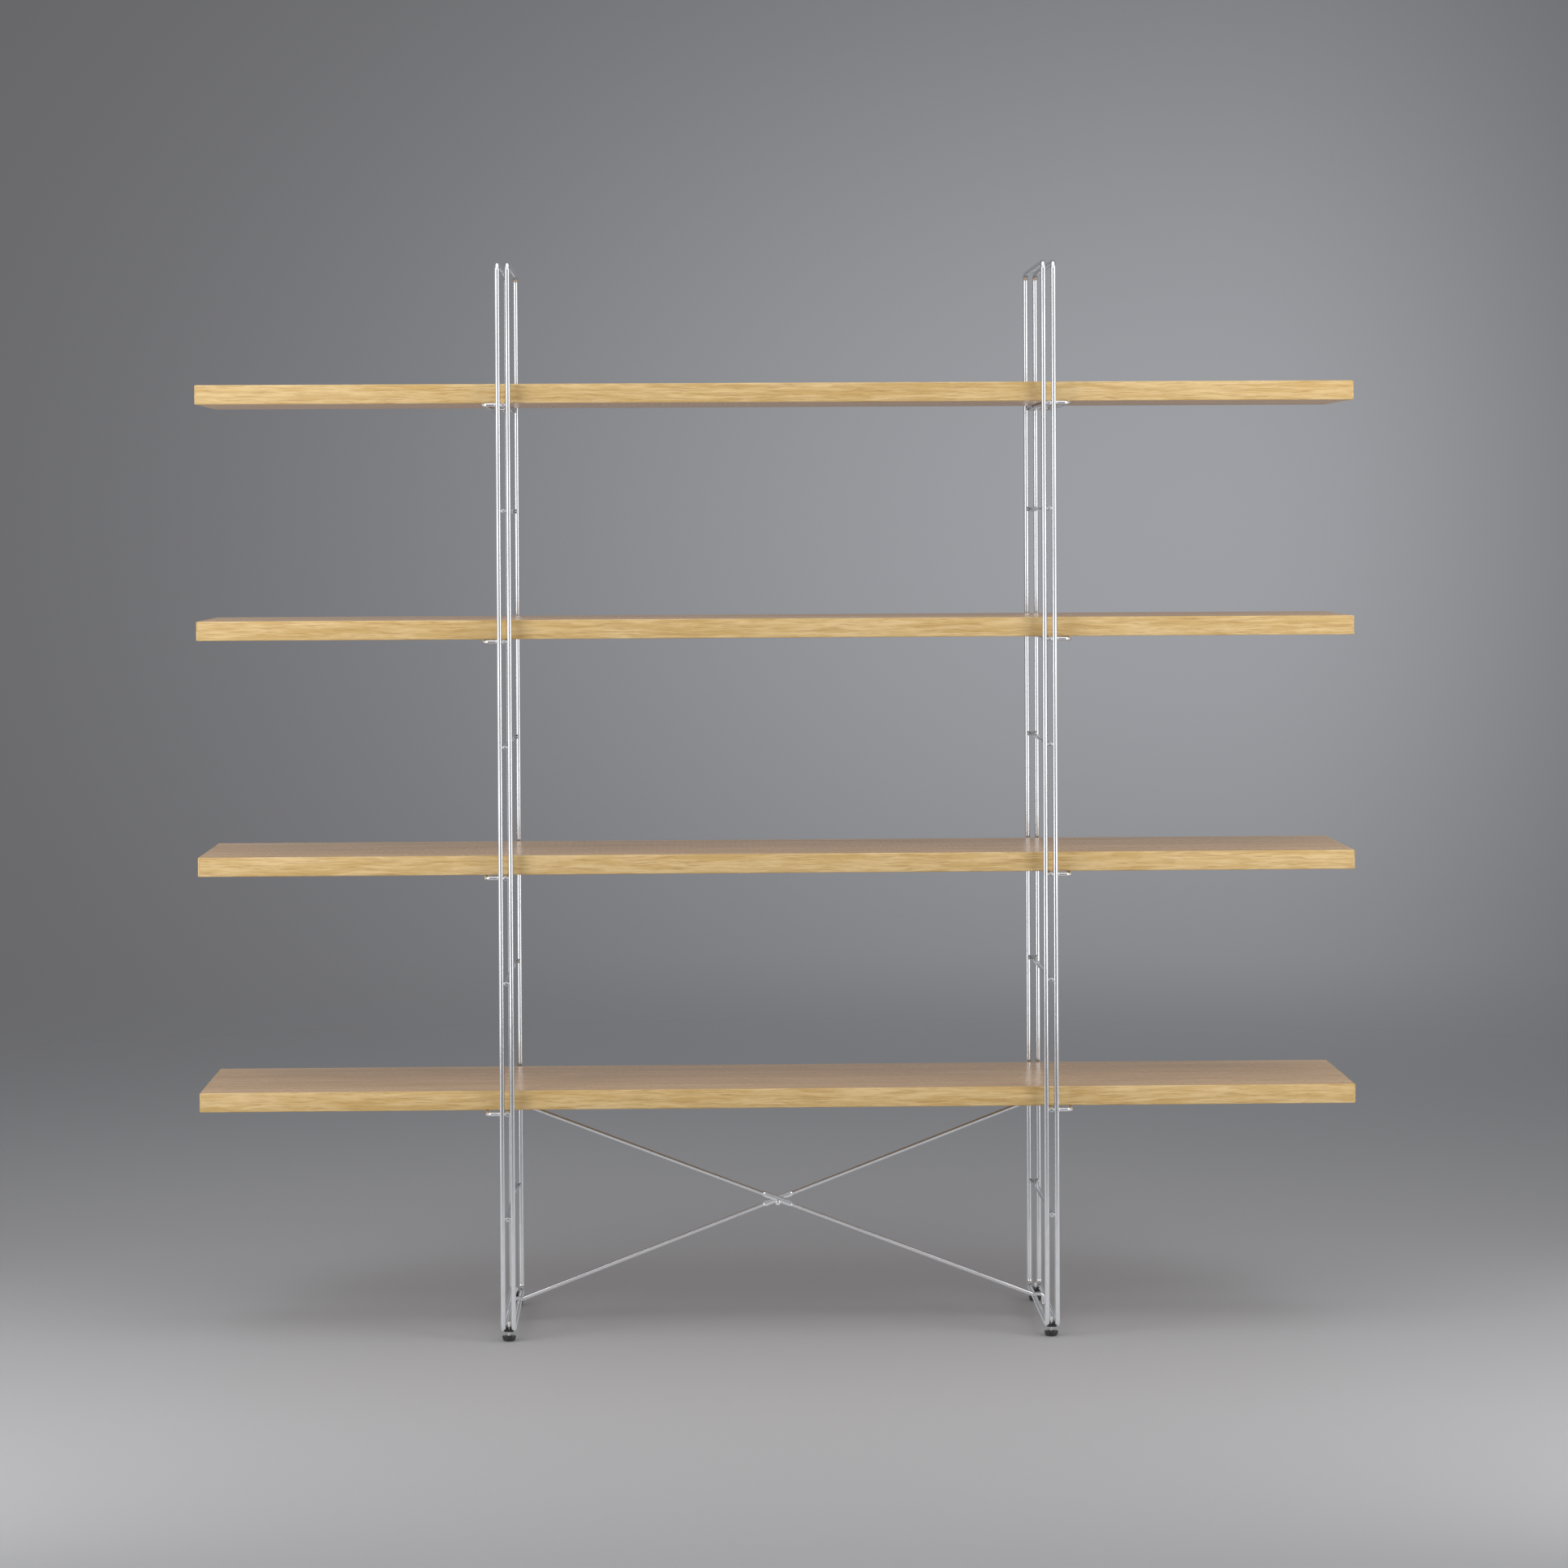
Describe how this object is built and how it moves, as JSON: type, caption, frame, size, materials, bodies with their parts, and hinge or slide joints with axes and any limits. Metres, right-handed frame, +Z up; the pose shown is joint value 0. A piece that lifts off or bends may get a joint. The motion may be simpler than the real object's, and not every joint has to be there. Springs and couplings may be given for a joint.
{
  "type": "open shelving unit",
  "caption": "Open shelving unit: long wooden boards lie loose through ladder side frames of doubled bright wire, with a riveted cross brace and levelling feet.",
  "frame": {"origin": "on the floor under the middle of the unit, at the centre of the bounding box's base", "axes": "+X along the shelves to the right seen from the front, +Y to the back, +Z up; the front faces -Y"},
  "size_m": [1.8, 0.35, 1.676],
  "materials": {
    "bright_wire": "bright plated round wire",
    "zinc_steel": "zinc plated",
    "black_plastic": "moulded, satin to glossy",
    "oak_board": "lacquered oak face, semi-gloss",
    "oak_edge": "light oak edge band, satin"
  },
  "bodies": {
    "frame": {"left_outer_loop": "bright_wire", "left_inner_loop": "bright_wire", "left_rung_1": "bright_wire", "left_rung_2": "bright_wire", "left_rung_3": "bright_wire", "left_rung_4": "bright_wire", "left_rung_5": "bright_wire", "left_rung_6": "bright_wire", "left_rung_7": "bright_wire", "left_rung_8": "bright_wire", "left_hoop_1": "bright_wire", "left_hoop_2": "bright_wire", "left_hoop_3": "bright_wire", "left_hoop_4": "bright_wire", "right_outer_loop": "bright_wire", "right_inner_loop": "bright_wire", "right_rung_1": "bright_wire", "right_rung_2": "bright_wire", "right_rung_3": "bright_wire", "right_rung_4": "bright_wire", "right_rung_5": "bright_wire", "right_rung_6": "bright_wire", "right_rung_7": "bright_wire", "right_rung_8": "bright_wire", "right_hoop_1": "bright_wire", "right_hoop_2": "bright_wire", "right_hoop_3": "bright_wire", "right_hoop_4": "bright_wire", "brace_front_rod": "bright_wire", "brace_front_lower_hook": "bright_wire", "brace_front_upper_hook": "bright_wire", "brace_back_rod": "bright_wire", "brace_back_lower_hook": "bright_wire", "brace_back_upper_hook": "bright_wire", "brace_rivet": "zinc_steel", "front_left_foot_insert": "black_plastic", "front_right_foot_insert": "black_plastic", "back_left_foot_insert": "black_plastic", "back_right_foot_insert": "black_plastic"},
    "front_left_foot": {"front_left_foot_stud": "zinc_steel", "front_left_foot_pad": "black_plastic"},
    "front_right_foot": {"front_right_foot_stud": "zinc_steel", "front_right_foot_pad": "black_plastic"},
    "back_left_foot": {"back_left_foot_stud": "zinc_steel", "back_left_foot_pad": "black_plastic"},
    "back_right_foot": {"back_right_foot_stud": "zinc_steel", "back_right_foot_pad": "black_plastic"},
    "shelf_1": {"shelf_1_board": "oak_board", "shelf_1_edge_band": "oak_edge"},
    "shelf_2": {"shelf_2_board": "oak_board", "shelf_2_edge_band": "oak_edge"},
    "shelf_3": {"shelf_3_board": "oak_board", "shelf_3_edge_band": "oak_edge"},
    "shelf_4": {"shelf_4_board": "oak_board", "shelf_4_edge_band": "oak_edge"}
  },
  "joints": [
    {"name": "shelf_1_slide", "type": "slide", "parent": "frame", "child": "shelf_1", "axis": [1, 0, 0], "range_m": [-0.44, 0.44]},
    {"name": "shelf_2_slide", "type": "slide", "parent": "frame", "child": "shelf_2", "axis": [1, 0, 0], "range_m": [-0.44, 0.44]},
    {"name": "shelf_3_slide", "type": "slide", "parent": "frame", "child": "shelf_3", "axis": [1, 0, 0], "range_m": [-0.44, 0.44]},
    {"name": "shelf_4_slide", "type": "slide", "parent": "frame", "child": "shelf_4", "axis": [1, 0, 0], "range_m": [-0.44, 0.44]},
    {"name": "front_left_foot_screw", "type": "slide", "parent": "frame", "child": "front_left_foot", "axis": [0, 0, -1], "range_m": [-0.006, 0.007]},
    {"name": "front_right_foot_screw", "type": "slide", "parent": "frame", "child": "front_right_foot", "axis": [0, 0, -1], "range_m": [-0.006, 0.007]},
    {"name": "back_left_foot_screw", "type": "slide", "parent": "frame", "child": "back_left_foot", "axis": [0, 0, -1], "range_m": [-0.006, 0.007]},
    {"name": "back_right_foot_screw", "type": "slide", "parent": "frame", "child": "back_right_foot", "axis": [0, 0, -1], "range_m": [-0.006, 0.007]}
  ]
}
